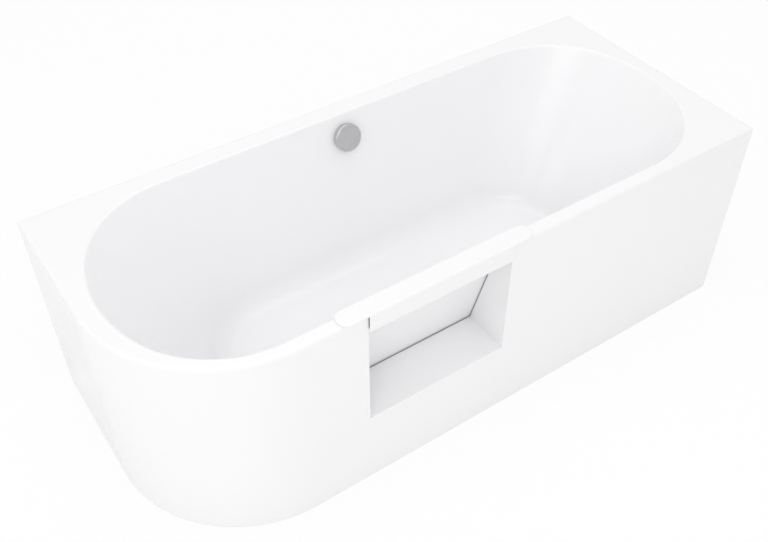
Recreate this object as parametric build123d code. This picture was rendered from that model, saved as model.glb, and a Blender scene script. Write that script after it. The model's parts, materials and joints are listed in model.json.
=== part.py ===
from build123d import *
import os
from math import cos, pi, radians, sin, tan

# Walk-in bathtub, back to wall, with a step-in niche in its front apron.
# Millimetres. X runs along the bath, Y from the apron to the wall, Z up from the floor.
# The origin is under the middle of the whole object, on the floor.

# Bath and rim
LENGTH = 1700
DEPTH = 710
RIM_HEIGHT = 575
CORNER_RADIUS = 350
SHELL_WALL = 6
RIM_ROLL = 9
ROLL_MARGIN = 0.5
RIM_LIP = 30
RIM_INNER_ROUND = 5
RIM_FRONT_WIDTH = 34
RIM_BACK_WIDTH = 55
RIM_LEFT_WIDTH = 49
RIM_RIGHT_WIDTH = 44

# Basin
BASIN_FLOOR_HEIGHT = 155
BASIN_LEAN = 15.3
END_RUN = 265
RIM_ARC_OFFSET = 35.5
FLOOR_ARC_OFFSET = 5.4
ARC_JOIN_ANGLE = 21.9
FLOOR_ROUND = 60

# Apron and niche
APRON_WALL = 6
NICHE_LEFT = 507
NICHE_WIDTH = 393
NICHE_SILL_HEIGHT = 229
LINER_WALL = 5

# Door
SEAL_THICKNESS = 3
SEAL_WIDTH = 10
SEAL_GAP = 0.3
SKIN_THICKNESS = 3
CORE_THICKNESS = 14
LEAF_FREE_OVERLAP = 15
LEAF_HINGE_OVERLAP = 45
LEAF_FOOT_OVERLAP = 27
CAP_THICKNESS = 5
CAP_GAP = 0.5
CAP_PROUD = 6
CAP_PAST_RIM = 10
CAP_PAST_FREE_END = 67
CAP_PAST_HINGE_END = 60
CAP_CORNER = 24
CAP_EDGE_ROUND = 4
SKIRT_THICKNESS = 5
SKIRT_DROP = 46
HEAD_FREE_GAP = 5
HEAD_BACK_GAP = 1
HEAD_HINGE_GAP = 1
HEAD_SLOPE = 1.3
MAGNET_SIZE = (6, 12, 20)
MAGNET_INSET = 9
HEAD_DEPTH = 40
STRAP_SCREW_LENGTH = 30
KEEPER_THICKNESS = 3

# Hinges
HINGE_OUT = 13
PIN_RADIUS = 3
BUSH_WALL = 1.4
KNUCKLE_WALL = 2.5
RUNNING_GAP = 0.05
PART_GAP = 0.3
STRAP_THICKNESS = 3
STRAP_LENGTH = 52
STRAP_WIDTH = 16
KNUCKLE_LENGTH = 14
FIXED_KNUCKLE_LENGTH = 16
BRACKET_THICKNESS = 3
BRACKET_WIDTH = 42
BRACKET_START = 4
BRACKET_SCREW_OUT = 24
BRACKET_SCREW_SPREAD = 17
BACKING_THICKNESS = 4
BACKING_MARGIN = 30
HINGE_DROPS = (90, 300)

# Screws
SCREW_RADIUS = 2
SCREW_HEAD_RADIUS = 3.6
SCREW_HEAD_HEIGHT = 2
SCREW_FIT = 0.2

# Waste and overflow
OVERFLOW_DROP = 63
OVERFLOW_HOLE_RADIUS = 26
ROSETTE_RADIUS = 36
ROSETTE_THICKNESS = 7
KNOB_RADIUS = 38.5
KNOB_THICKNESS = 14
KNOB_EDGE_ROUND = 2
SPINDLE_RADIUS = 5
CRANK_RADIUS = 9
CRANK_THICKNESS = 4
WATER_HOLES = 6
WATER_HOLE_RADIUS = 3
WATER_HOLE_CIRCLE = 14
OVERFLOW_BODY_RADIUS = 32
OVERFLOW_BODY_DEPTH = 34
OVERFLOW_BODY_WALL = 3
GASKET_THICKNESS = 3
NECK_RADIUS = 24
NECK_BORE = 20
NECK_LENGTH = 14
OVERFLOW_PIPE_RADIUS = 14
OVERFLOW_INLET_HEIGHT = 112
PIPE_WALL = 2
PIPE_BEND = 40
DRAIN_HOLE_RADIUS = 26
DRAIN_FLANGE_RADIUS = 35
DRAIN_FLANGE_THICKNESS = 2.5
PLUG_RADIUS = 31
PLUG_THICKNESS = 4
PLUG_SEAL_HEIGHT = 1.5
STEM_RADIUS = 4
STEM_LENGTH = 55
GUIDE_RADIUS = 7
GUIDE_HEIGHT = 6
GUIDE_DROP = 12
GUIDE_ARM = 4
DRAIN_NECK_LENGTH = 28
DRAIN_BODY_RADIUS = 34
DRAIN_BODY_HEIGHT = 52
TRAP_RADIUS = 46
TRAP_HEIGHT = 64
TRAP_WALL = 3
OUTLET_RADIUS = 20
OUTLET_HEIGHT = 58
OUTLET_BACK_GAP = 8
OUTLET_STEP = 1.5
SPIGOT_LENGTH = 45
SOCKET_WALL = 5
SOCKET_LENGTH = 22
SOCKET_GAP = 2
CABLE_RADIUS = 3
CABLE_OFFSET = 24
GLAND_RADIUS = 5
GLAND_LENGTH = 4

# Base frame and feet
BOARD_THICKNESS = 16
BOARD_SIDE_MARGIN = 55
BOARD_END_MARGIN = 90
BOARD_CORNER = 90
BOARD_HOLE_GAP = 2
BOARD_SCREW_BITE = 12
BOARD_SCREW_SPREAD = 90
BAR_HEIGHT = 20
BAR_WIDTH = 30
RAIL_WIDTH = 20
BAR_WALL = 2
BAR_PLACES = (500, 1200)
CROSS_BAR_BACK = 70
FOOT_INSET_FRONT = 100
FOOT_INSET_BACK = 120
FOOT_ROD_RADIUS = 5
FOOT_ROD_TOP = 150
FOOT_PAD_RADIUS = 22
FOOT_PAD_HEIGHT = 12
NUT_RADIUS = 9
NUT_HEIGHT = 6
POST_PLACES = (545, 860)
SILL_BEAM_INSET = 95
WALL_BRACKET_PLACES = (250, 600, 1450)
WALL_BRACKET_WIDTH = 50
WALL_BRACKET_THICKNESS = 3
WALL_BRACKET_DROP = 75
WALL_HOLE_RADIUS = 3
WALL_HOLE_SPACING = 30
CLIP_SIZE = 20
CLIP_FROM_LEFT = 400
CLIP_PAST_NICHE = 100
CLIPS_FROM_RIGHT = (100, 450)
END_CLIP_PLACES = (80, 280)

# Places worked out from the sizes
LEFT = -LENGTH / 2
RIGHT = LENGTH / 2
FRONT = -(DEPTH - CAP_PROUD) / 2
WALL = FRONT + DEPTH
LEAN = tan(radians(BASIN_LEAN))
LEAN_COS = cos(radians(BASIN_LEAN))
LEAN_SIN = sin(radians(BASIN_LEAN))
BASIN_DEPTH = RIM_HEIGHT - BASIN_FLOOR_HEIGHT
RIM_LINE_FRONT = FRONT + RIM_FRONT_WIDTH
RIM_LINE_BACK = WALL - RIM_BACK_WIDTH
BASIN_MIDDLE = (RIM_LINE_FRONT + RIM_LINE_BACK) / 2
RIM_HALF_WIDTH = (RIM_LINE_BACK - RIM_LINE_FRONT) / 2
FLOOR_HALF_WIDTH = RIM_HALF_WIDTH - BASIN_DEPTH * LEAN
BASIN_LEFT = LEFT + RIM_LEFT_WIDTH
BASIN_RIGHT = RIGHT - RIM_RIGHT_WIDTH
WASTE_X = (BASIN_LEFT + BASIN_RIGHT) / 2
SHELL_UNDER = BASIN_FLOOR_HEIGHT - SHELL_WALL
WALL_NORMAL = SHELL_WALL * LEAN_COS
APRON_TOP = RIM_HEIGHT - RIM_ROLL
NICHE_X0 = LEFT + NICHE_LEFT
NICHE_X1 = NICHE_X0 + NICHE_WIDTH
LEAF_THICKNESS = 2 * SKIN_THICKNESS + CORE_THICKNESS
LEAF_X0 = NICHE_X0 - LEAF_FREE_OVERLAP
LEAF_X1 = NICHE_X1 + LEAF_HINGE_OVERLAP
SILL_DROP = (RIM_HEIGHT - NICHE_SILL_HEIGHT) / LEAN_COS
LEAF_DROP = SILL_DROP + LEAF_FOOT_OVERLAP
CAP_UNDER = RIM_HEIGHT + CAP_GAP
SKIRT_FOOT_HEIGHT = RIM_HEIGHT - SKIRT_DROP
CAP_Y0 = FRONT - CAP_PROUD
CAP_Y1 = RIM_LINE_FRONT + CAP_PAST_RIM
CAP_X0 = NICHE_X0 - CAP_PAST_FREE_END
CAP_X1 = NICHE_X1 + CAP_PAST_HINGE_END
BUSH_RADIUS = PIN_RADIUS + RUNNING_GAP + BUSH_WALL
KNUCKLE_RADIUS = BUSH_RADIUS + KNUCKLE_WALL
HINGE_X = LEAF_X1 + HINGE_OUT
HINGE_H = SEAL_THICKNESS + LEAF_THICKNESS / 2
BOARD_UNDER = SHELL_UNDER - BOARD_THICKNESS
BAR_UNDER = BOARD_UNDER - BAR_HEIGHT
END_BAR_Y = BASIN_MIDDLE
BODY_FRONT = -WALL_NORMAL - GASKET_THICKNESS
BODY_BACK = BODY_FRONT - OVERFLOW_BODY_DEPTH
PIPE_H = (BODY_FRONT + BODY_BACK) / 2
DRAIN_NECK_FOOT = BASIN_FLOOR_HEIGHT - DRAIN_NECK_LENGTH
GUIDE_FOOT = BASIN_FLOOR_HEIGHT - GUIDE_DROP
DRAIN_BODY_TOP = SHELL_UNDER - GASKET_THICKNESS
DRAIN_BODY_FOOT = DRAIN_BODY_TOP - DRAIN_BODY_HEIGHT
TRAP_FOOT = DRAIN_BODY_FOOT - TRAP_HEIGHT
PLUG_FOOT = BASIN_FLOOR_HEIGHT + DRAIN_FLANGE_THICKNESS + PART_GAP + PLUG_SEAL_HEIGHT
STEM_FOOT = PLUG_FOOT - STEM_LENGTH

# Frame on the front basin wall: X along the bath, Y down the wall, Z into the basin
FRONT_WALL = Plane((0, RIM_LINE_FRONT, RIM_HEIGHT), (1, 0, 0), (0, LEAN_COS, LEAN_SIN))
# Frame on the back basin wall at the overflow: Z out of the wall into the basin
OVERFLOW_Y = RIM_LINE_BACK - OVERFLOW_DROP * LEAN
OVERFLOW = Plane((WASTE_X, OVERFLOW_Y, RIM_HEIGHT - OVERFLOW_DROP), (-1, 0, 0), (0, -LEAN_COS, LEAN_SIN))


def block(x0, x1, y0, y1, z0, z1):
    """Box between two corners."""
    return Pos((x0 + x1) / 2, (y0 + y1) / 2, (z0 + z1) / 2) * Box(x1 - x0, y1 - y0, z1 - z0)


def on_front_wall(shape):
    return FRONT_WALL.location * shape


def at_overflow(shape):
    return OVERFLOW.location * shape


def post(radius, z0, z1, x=0, y=0):
    """Upright cylinder between two heights."""
    return Pos(x, y, (z0 + z1) / 2) * Cylinder(radius, z1 - z0)


def tube(radius, bore, z0, z1, x=0, y=0):
    return post(radius, z0, z1, x, y) - post(bore, z0, z1, x, y)


def along_y(radius, y0, y1, x, z):
    """Cylinder along Y between two places."""
    return Pos(x, (y0 + y1) / 2, z) * (Rot(X=90) * Cylinder(radius, y1 - y0))


def tube_along_y(radius, bore, y0, y1, x, z):
    return along_y(radius, y0, y1, x, z) - along_y(bore, y0, y1, x, z)


def merged(solids):
    """Compound of separate solids that share a node."""
    return Compound([solid for shape in solids for solid in shape.solids()])


def basin_outline(left, right, half_width, lift, z):
    """Stadium outline at height z with three tangent arcs at each end.

    lift is how far the corner arcs' centres lie to either side of the middle line.
    """
    join = radians(ARC_JOIN_ANGLE)
    corner = half_width - lift
    end = corner + lift / sin(join)
    reach = (end - corner) * cos(join)
    middle = radians(45 + ARC_JOIN_ANGLE / 2)
    edges = []
    for side, tip in ((1, right), (-1, left)):
        end_centre = tip - side * end
        corner_centre = end_centre + side * reach
        low = (corner_centre, -side * half_width)
        low_mid = (corner_centre + side * corner * cos(middle), -side * (lift + corner * sin(middle)))
        low_join = (end_centre + side * end * cos(join), -side * end * sin(join))
        high_join = (low_join[0], -low_join[1])
        high_mid = (low_mid[0], -low_mid[1])
        high = (corner_centre, side * half_width)
        edges.append((low, low_mid, low_join, (tip, 0), high_join, high_mid, high))
    lines = []
    for index, points in enumerate(edges):
        lines.append(ThreePointArc(points[0], points[1], points[2]))
        lines.append(ThreePointArc(points[2], points[3], points[4]))
        lines.append(ThreePointArc(points[4], points[5], points[6]))
        lines.append(Line(points[6], edges[1 - index][0]))
    return Pos(0, BASIN_MIDDLE, z) * make_face(lines)


def basin_solid(grow):
    """Basin filled solid, larger all round by grow, from its floor to the rim's top."""
    drop = BASIN_DEPTH + grow
    floor_half = FLOOR_HALF_WIDTH + grow - grow * LEAN
    run = END_RUN * drop / BASIN_DEPTH
    top = basin_outline(BASIN_LEFT - grow, BASIN_RIGHT + grow, RIM_HALF_WIDTH + grow,
                        RIM_ARC_OFFSET, RIM_HEIGHT)
    low = basin_outline(BASIN_LEFT - grow + run, BASIN_RIGHT + grow - run, floor_half,
                        FLOOR_ARC_OFFSET, BASIN_FLOOR_HEIGHT - grow)
    solid = loft([low, top], ruled=True)
    floor_edges = solid.edges().group_by(Axis.Z)[0]
    return fillet(floor_edges, FLOOR_ROUND + grow)


def rim_outline(inset, z):
    """Outline of rim and apron: square at the wall and the right end, one large front corner."""
    x0, x1 = LEFT + inset, RIGHT - inset
    y0, y1 = FRONT + inset, WALL - inset
    radius = CORNER_RADIUS - inset
    half = radius * (1 - cos(pi / 4))
    lines = [
        Line((x0 + radius, y0), (x1, y0)),
        Line((x1, y0), (x1, y1)),
        Line((x1, y1), (x0, y1)),
        Line((x0, y1), (x0, y0 + radius)),
        ThreePointArc((x0, y0 + radius), (x0 + half, y0 + half), (x0 + radius, y0)),
    ]
    return Pos(0, 0, z) * make_face(lines)


def door_way():
    """Space that the door closes, from the sill up through the rim."""
    return block(NICHE_X0, NICHE_X1, FRONT - CAP_PROUD, FRONT + DEPTH / 4,
                 NICHE_SILL_HEIGHT, RIM_HEIGHT + CAP_THICKNESS)


def screw(length):
    """Screw with its head's underside at the origin, shank down the -Z side."""
    head = post(SCREW_HEAD_RADIUS, 0, SCREW_HEAD_HEIGHT)
    return head + post(SCREW_RADIUS, -length, 0)


def screw_hole(z0, z1):
    return post(SCREW_RADIUS + SCREW_FIT, z0, z1)


def hinge_screw_places():
    """Places of the screws through the hinge brackets, in the front wall's frame."""
    return [(HINGE_X + BRACKET_SCREW_OUT, drop + side * BRACKET_SCREW_SPREAD)
            for drop in HINGE_DROPS for side in (-1, 1)]


def with_hinge_landing(shell):
    """The shell with a flat drilled landing in its front wall for the hinge brackets."""
    x0 = HINGE_X - BRACKET_START
    for drop in HINGE_DROPS:
        size = (x0, x0 + BRACKET_WIDTH, drop - STRAP_LENGTH / 2, drop + STRAP_LENGTH / 2)
        shell -= on_front_wall(block(*size, -WALL_NORMAL - SHELL_WALL, SHELL_WALL))
        landing = block(*size, -WALL_NORMAL, 0)
        for x, place in hinge_screw_places():
            landing -= Pos(x, place) * screw_hole(-2 * WALL_NORMAL, 1)
        shell += on_front_wall(landing)
    return shell


def make_shell():
    deck = extrude(rim_outline(0, APRON_TOP), RIM_ROLL)
    deck = fillet(deck.edges().group_by(Axis.Z)[-1], RIM_ROLL - ROLL_MARGIN)
    deck -= extrude(rim_outline(SHELL_WALL, APRON_TOP), RIM_ROLL - SHELL_WALL)
    inside = LEFT + APRON_WALL
    deck += block(inside, RIGHT, WALL - SHELL_WALL, WALL, RIM_HEIGHT - RIM_LIP, APRON_TOP)
    deck += block(RIGHT - SHELL_WALL, RIGHT, FRONT + APRON_WALL, WALL, RIM_HEIGHT - RIM_LIP, APRON_TOP)
    shell = deck + BASIN_OUTSIDE
    shell -= BASIN_INSIDE
    inner = shell.faces().sort_by(Axis.Z)[-1].inner_wires()[0].edges()
    shell = fillet(inner, RIM_INNER_ROUND)
    shell -= door_way()
    shell = with_hinge_landing(shell)
    shell -= at_overflow(Cylinder(OVERFLOW_HOLE_RADIUS, 4 * SHELL_WALL))
    shell -= post(DRAIN_HOLE_RADIUS, SHELL_UNDER - 1, BASIN_FLOOR_HEIGHT + 1, WASTE_X, BASIN_MIDDLE)
    return shell


def make_apron():
    ring = rim_outline(0, 0) - rim_outline(APRON_WALL, 0)
    panel = extrude(ring, APRON_TOP)
    panel -= block(LEFT + APRON_WALL, RIGHT + 1, WALL - 2 * APRON_WALL, WALL + 1, -1, RIM_HEIGHT)
    panel -= block(RIGHT - 2 * APRON_WALL, RIGHT + 1, FRONT + APRON_WALL, WALL + 1, -1, RIM_HEIGHT)
    return panel - door_way()


def make_niche_liner():
    """Sill and two jambs between the apron and the basin wall."""
    liner = block(NICHE_X0 - LINER_WALL, NICHE_X1 + LINER_WALL, FRONT + APRON_WALL, FRONT + DEPTH / 4,
                  NICHE_SILL_HEIGHT - LINER_WALL, RIM_HEIGHT - SHELL_WALL)
    return liner - door_way() - BASIN_OUTSIDE


def leaf_slab(h0, h1):
    """Slab of the door leaf between two distances from the basin wall, cut to fit under the cap."""
    slab = on_front_wall(block(LEAF_X0, LEAF_X1, -LEAF_FOOT_OVERLAP, LEAF_DROP, h0, h1))
    slab -= block(LEAF_X0 - 1, LEAF_X1 + 1, FRONT, FRONT + DEPTH / 4, CAP_UNDER, RIM_HEIGHT + DEPTH / 4)
    slope = Plane((0, CAP_Y1, CAP_UNDER), (1, 0, 0), (0, HEAD_SLOPE, 1))
    return slab - slope.location * block(LEAF_X0 - 1, LEAF_X1 + 1, -LEAF_DROP, LEAF_DROP, 0, LEAF_DROP)


def make_door_seal():
    """Strip round the foot and both sides of the door way, on the leaf's outer face."""
    seal = block(NICHE_X0 - SEAL_WIDTH, NICHE_X1 + SEAL_WIDTH, SEAL_THICKNESS, SILL_DROP + SEAL_WIDTH,
                 SEAL_GAP, SEAL_THICKNESS)
    seal -= block(NICHE_X0, NICHE_X1, -1, SILL_DROP, 0, 2 * SEAL_THICKNESS)
    return on_front_wall(seal)


def make_rim_cap():
    """Strip that lies over the rim above the door, with a skirt down to the niche's top."""
    width, depth = CAP_X1 - CAP_X0, CAP_Y1 - CAP_Y0
    middle = Pos((CAP_X0 + CAP_X1) / 2, (CAP_Y0 + CAP_Y1) / 2, CAP_UNDER)
    plate = extrude(middle * RectangleRounded(width, depth, CAP_CORNER), CAP_THICKNESS)
    plate = fillet(plate.edges().group_by(Axis.Z)[-1], CAP_EDGE_ROUND)
    skirt = block(NICHE_X0 + HEAD_FREE_GAP, NICHE_X1 - HEAD_HINGE_GAP,
                  CAP_Y0, CAP_Y0 + SKIRT_THICKNESS, SKIRT_FOOT_HEIGHT, CAP_UNDER)
    return plate + skirt


def magnet_block(x):
    length, depth, height = MAGNET_SIZE
    foot = (SKIRT_FOOT_HEIGHT + CAP_UNDER - height) / 2
    return block(x, x + length, FRONT + APRON_WALL, FRONT + APRON_WALL + depth, foot, foot + height)


def make_cap_core():
    """Filling between skirt and leaf, narrower at the front so that its free edge swings clear."""
    front, back = CAP_Y0 + SKIRT_THICKNESS, FRONT + DEPTH / 4
    taper = (HEAD_FREE_GAP - HEAD_BACK_GAP) / HEAD_DEPTH
    back_x = NICHE_X0 + HEAD_BACK_GAP
    outline = make_face(Polyline(
        (NICHE_X1 - HEAD_HINGE_GAP, front), (NICHE_X1 - HEAD_HINGE_GAP, back), (back_x, back),
        (back_x, front + HEAD_DEPTH), (back_x + taper * HEAD_DEPTH, front), close=True))
    core = extrude(Pos(0, 0, SKIRT_FOOT_HEIGHT) * outline, CAP_UNDER - SKIRT_FOOT_HEIGHT)
    core -= on_front_wall(block(LEAF_X0, LEAF_X1, -LEAF_DROP, LEAF_DROP, SEAL_THICKNESS, LEAF_DROP))
    return core - magnet_block(NICHE_X0 + MAGNET_INSET)


def make_keeper():
    """Steel plate behind the free jamb, opposite the magnet."""
    length, depth, height = MAGNET_SIZE
    foot = (SKIRT_FOOT_HEIGHT + CAP_UNDER - height) / 2
    x1 = NICHE_X0 - LINER_WALL
    return block(x1 - KEEPER_THICKNESS, x1, FRONT + APRON_WALL, FRONT + APRON_WALL + depth, foot, foot + height)


def knuckle(drop, radius, bore, start, length):
    """Ring on the hinge axis, in the front wall's frame."""
    ring = tube(radius, bore, start, start + length)
    return Pos(HINGE_X, drop, HINGE_H) * (Rot(X=-90) * ring)


def moving_knuckle_starts():
    offset = FIXED_KNUCKLE_LENGTH / 2 + PART_GAP
    return (offset, -offset - KNUCKLE_LENGTH)


def make_hinge_straps():
    straps = []
    for drop in HINGE_DROPS:
        strap = block(LEAF_X1, LEAF_X1 + STRAP_THICKNESS, drop - STRAP_LENGTH / 2, drop + STRAP_LENGTH / 2,
                      HINGE_H - STRAP_WIDTH / 2, HINGE_H + STRAP_WIDTH / 2)
        for start in moving_knuckle_starts():
            strap += block(LEAF_X1, HINGE_X, drop + start, drop + start + KNUCKLE_LENGTH,
                           HINGE_H - STRAP_THICKNESS, HINGE_H + STRAP_THICKNESS)
            strap += knuckle(drop, KNUCKLE_RADIUS, BUSH_RADIUS, start, KNUCKLE_LENGTH)
            strap -= Pos(HINGE_X, drop, HINGE_H) * (
                Rot(X=-90) * post(BUSH_RADIUS, start, start + KNUCKLE_LENGTH))
        hole = Pos(LEAF_X1, drop, HINGE_H) * (Rot(Y=90) * screw_hole(-1, 2 * STRAP_THICKNESS))
        straps.append(on_front_wall(strap - hole))
    return merged(straps)


def make_hinge_bushes():
    bushes = [knuckle(drop, BUSH_RADIUS, PIN_RADIUS + RUNNING_GAP, start, KNUCKLE_LENGTH)
              for drop in HINGE_DROPS for start in moving_knuckle_starts()]
    return merged([on_front_wall(bush) for bush in bushes])


def strap_screw_place(drop):
    return Pos(LEAF_X1 + STRAP_THICKNESS, drop, HINGE_H) * Rot(Y=90)


def make_strap_screws():
    return merged([on_front_wall(strap_screw_place(drop) * screw(STRAP_SCREW_LENGTH))
                   for drop in HINGE_DROPS])


def make_door_core():
    core = leaf_slab(SEAL_THICKNESS + SKIN_THICKNESS, SEAL_THICKNESS + SKIN_THICKNESS + CORE_THICKNESS)
    for drop in HINGE_DROPS:
        core -= on_front_wall(strap_screw_place(drop) * screw_hole(-STRAP_SCREW_LENGTH, 0))
    return core


def make_hinge_brackets():
    brackets = []
    half = FIXED_KNUCKLE_LENGTH / 2
    for drop in HINGE_DROPS:
        x0 = HINGE_X - BRACKET_START
        bracket = block(x0, x0 + BRACKET_WIDTH, drop - STRAP_LENGTH / 2, drop + STRAP_LENGTH / 2,
                        0, BRACKET_THICKNESS)
        bracket += block(x0, x0 + 4 * BRACKET_START, drop - half, drop + half, 0, HINGE_H)
        bracket += knuckle(drop, KNUCKLE_RADIUS, PIN_RADIUS, -half, FIXED_KNUCKLE_LENGTH)
        bracket -= Pos(HINGE_X, drop, HINGE_H) * (Rot(X=-90) * post(PIN_RADIUS + RUNNING_GAP, -half, half))
        for x, place in hinge_screw_places():
            bracket -= Pos(x, place) * screw_hole(-1, 2 * BRACKET_THICKNESS)
        brackets.append(on_front_wall(bracket))
    return merged(brackets)


def make_hinge_pins():
    reach = FIXED_KNUCKLE_LENGTH / 2 + PART_GAP + KNUCKLE_LENGTH + PART_GAP
    pins = []
    for drop in HINGE_DROPS:
        pin = post(PIN_RADIUS, -reach, reach) + post(PIN_RADIUS + BUSH_WALL, -reach - PIN_RADIUS, -reach)
        pins.append(on_front_wall(Pos(HINGE_X, drop, HINGE_H) * (Rot(X=-90) * pin)))
    return merged(pins)


def make_bracket_screws():
    length = BRACKET_THICKNESS + WALL_NORMAL + BACKING_THICKNESS
    return merged([on_front_wall(Pos(x, drop, BRACKET_THICKNESS) * screw(length))
                   for x, drop in hinge_screw_places()])


def make_backing_plate():
    """Plate behind the basin wall that takes the hinge screws."""
    x0 = HINGE_X - BRACKET_START
    plate = block(x0, x0 + BRACKET_WIDTH, HINGE_DROPS[0] - BACKING_MARGIN, HINGE_DROPS[-1] + BACKING_MARGIN,
                  -WALL_NORMAL - BACKING_THICKNESS, -WALL_NORMAL)
    for x, drop in hinge_screw_places():
        plate -= Pos(x, drop) * screw_hole(-3 * SHELL_WALL, 0)
    return on_front_wall(plate)


def make_overflow_rosette():
    """Face ring with its threaded neck through the wall and water holes round the spindle."""
    rosette = post(ROSETTE_RADIUS, 0, ROSETTE_THICKNESS)
    rosette += post(NECK_RADIUS, -NECK_LENGTH, 0)
    rosette -= post(NECK_BORE, -NECK_LENGTH, 0)
    rosette -= post(SPINDLE_RADIUS + RUNNING_GAP, 0, ROSETTE_THICKNESS)
    for turn in range(WATER_HOLES):
        place = Rot(Z=turn * 360 / WATER_HOLES) * Pos(X=WATER_HOLE_CIRCLE)
        rosette -= place * post(WATER_HOLE_RADIUS, 0, ROSETTE_THICKNESS)
    return at_overflow(rosette)


def make_overflow_gasket():
    return at_overflow(tube(OVERFLOW_BODY_RADIUS, NECK_RADIUS + PART_GAP,
                            -WALL_NORMAL - GASKET_THICKNESS, -WALL_NORMAL))


def make_overflow_body():
    """Cup behind the wall, screwed on the rosette's neck, with the pipe socket below."""
    inner = OVERFLOW_BODY_RADIUS - OVERFLOW_BODY_WALL
    body = post(OVERFLOW_BODY_RADIUS, BODY_BACK, BODY_FRONT)
    body += Pos(0, OVERFLOW_BODY_RADIUS, PIPE_H) * (
        Rot(X=90) * Cylinder(OVERFLOW_PIPE_RADIUS + SOCKET_GAP, 2 * SOCKET_LENGTH))
    gland = OVERFLOW_BODY_RADIUS + GLAND_LENGTH
    body += along_y(GLAND_RADIUS, gland / 2, gland, -CABLE_OFFSET, PIPE_H)
    body -= post(inner, BODY_BACK + OVERFLOW_BODY_WALL, BODY_FRONT - OVERFLOW_BODY_WALL)
    body -= post(NECK_RADIUS + RUNNING_GAP, BODY_FRONT - OVERFLOW_BODY_WALL, BODY_FRONT)
    body -= Pos(0, OVERFLOW_BODY_RADIUS + SOCKET_LENGTH / 2, PIPE_H) * (
        Rot(X=90) * Cylinder(OVERFLOW_PIPE_RADIUS - PIPE_WALL, 2 * SOCKET_LENGTH))
    return at_overflow(body)


def overflow_path(offset, start, reach):
    """Line down behind the basin wall and forward to the drain body, moved sideways by offset."""
    top = OVERFLOW.from_local_coords((-offset, start, PIPE_H))
    fall = (top.Z - OVERFLOW_INLET_HEIGHT) / LEAN_COS
    corner = OVERFLOW.from_local_coords((-offset, start + fall, PIPE_H))
    end = Vector(WASTE_X + offset, BASIN_MIDDLE + reach, OVERFLOW_INLET_HEIGHT)
    return FilletPolyline(top, corner, end, radius=PIPE_BEND)


def swept_rod(path, radius):
    start = Plane(path @ 0, z_dir=path % 0)
    return sweep(start * Circle(radius), path)


def make_overflow_pipe():
    path = overflow_path(0, OVERFLOW_BODY_RADIUS + SOCKET_LENGTH, DRAIN_BODY_RADIUS + SOCKET_GAP)
    return swept_rod(path, OVERFLOW_PIPE_RADIUS) - swept_rod(path, OVERFLOW_PIPE_RADIUS - PIPE_WALL)


def make_cable():
    """Push-pull cable from the knob's crank to the plug, beside the overflow pipe."""
    path = overflow_path(CABLE_OFFSET, OVERFLOW_BODY_RADIUS + GLAND_LENGTH, DRAIN_BODY_RADIUS + GLAND_LENGTH)
    return swept_rod(path, CABLE_RADIUS)


def make_knob():
    knob = post(KNOB_RADIUS, ROSETTE_THICKNESS + CAP_GAP, ROSETTE_THICKNESS + CAP_GAP + KNOB_THICKNESS)
    return at_overflow(fillet(knob.edges().group_by(Axis.Z)[-1], KNOB_EDGE_ROUND))


def make_spindle():
    """Spindle with the crank disc that pulls the cable."""
    spindle = post(SPINDLE_RADIUS, -NECK_LENGTH - CRANK_THICKNESS, ROSETTE_THICKNESS + CAP_GAP)
    spindle += post(CRANK_RADIUS, -NECK_LENGTH - CRANK_THICKNESS, -NECK_LENGTH - PART_GAP)
    return at_overflow(spindle)


def at_drain(shape):
    return Pos(WASTE_X, BASIN_MIDDLE) * shape


def make_drain_flange():
    """Flange on the basin floor with its neck and the guide of the plug's stem."""
    top = BASIN_FLOOR_HEIGHT + DRAIN_FLANGE_THICKNESS
    flange = post(DRAIN_FLANGE_RADIUS, BASIN_FLOOR_HEIGHT, top)
    flange += post(NECK_RADIUS, DRAIN_NECK_FOOT, BASIN_FLOOR_HEIGHT)
    flange -= post(NECK_BORE, DRAIN_NECK_FOOT, top)
    for turn in (0, 90):
        flange += Rot(Z=turn) * block(-NECK_BORE, NECK_BORE, -GUIDE_ARM / 2, GUIDE_ARM / 2,
                                     GUIDE_FOOT, GUIDE_FOOT + GUIDE_HEIGHT)
    flange += post(GUIDE_RADIUS, GUIDE_FOOT, GUIDE_FOOT + GUIDE_HEIGHT)
    return at_drain(flange - post(STEM_RADIUS + RUNNING_GAP, DRAIN_NECK_FOOT, top))


def make_drain_gasket():
    return at_drain(tube(DRAIN_BODY_RADIUS, DRAIN_HOLE_RADIUS + PART_GAP,
                         SHELL_UNDER - GASKET_THICKNESS, SHELL_UNDER))


def make_drain_body():
    """Body below the floor, with a ring for the flange's neck and the overflow pipe's inlet."""
    inner = DRAIN_BODY_RADIUS - OVERFLOW_BODY_WALL
    body = post(DRAIN_BODY_RADIUS, DRAIN_BODY_FOOT, DRAIN_BODY_TOP)
    body += along_y(OVERFLOW_PIPE_RADIUS + SOCKET_GAP, DRAIN_BODY_RADIUS / 2, DRAIN_BODY_RADIUS + SOCKET_GAP, 0,
                    OVERFLOW_INLET_HEIGHT)
    body += along_y(GLAND_RADIUS, DRAIN_BODY_RADIUS / 2, DRAIN_BODY_RADIUS + GLAND_LENGTH, CABLE_OFFSET,
                    OVERFLOW_INLET_HEIGHT)
    body -= post(inner, DRAIN_BODY_FOOT, DRAIN_BODY_TOP - GUIDE_HEIGHT)
    body -= post(NECK_RADIUS + RUNNING_GAP, DRAIN_BODY_FOOT, DRAIN_BODY_TOP)
    body -= along_y(OVERFLOW_PIPE_RADIUS - PIPE_WALL, inner / 2, DRAIN_BODY_RADIUS + SOCKET_LENGTH, 0,
                    OVERFLOW_INLET_HEIGHT)
    return at_drain(body)


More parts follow.
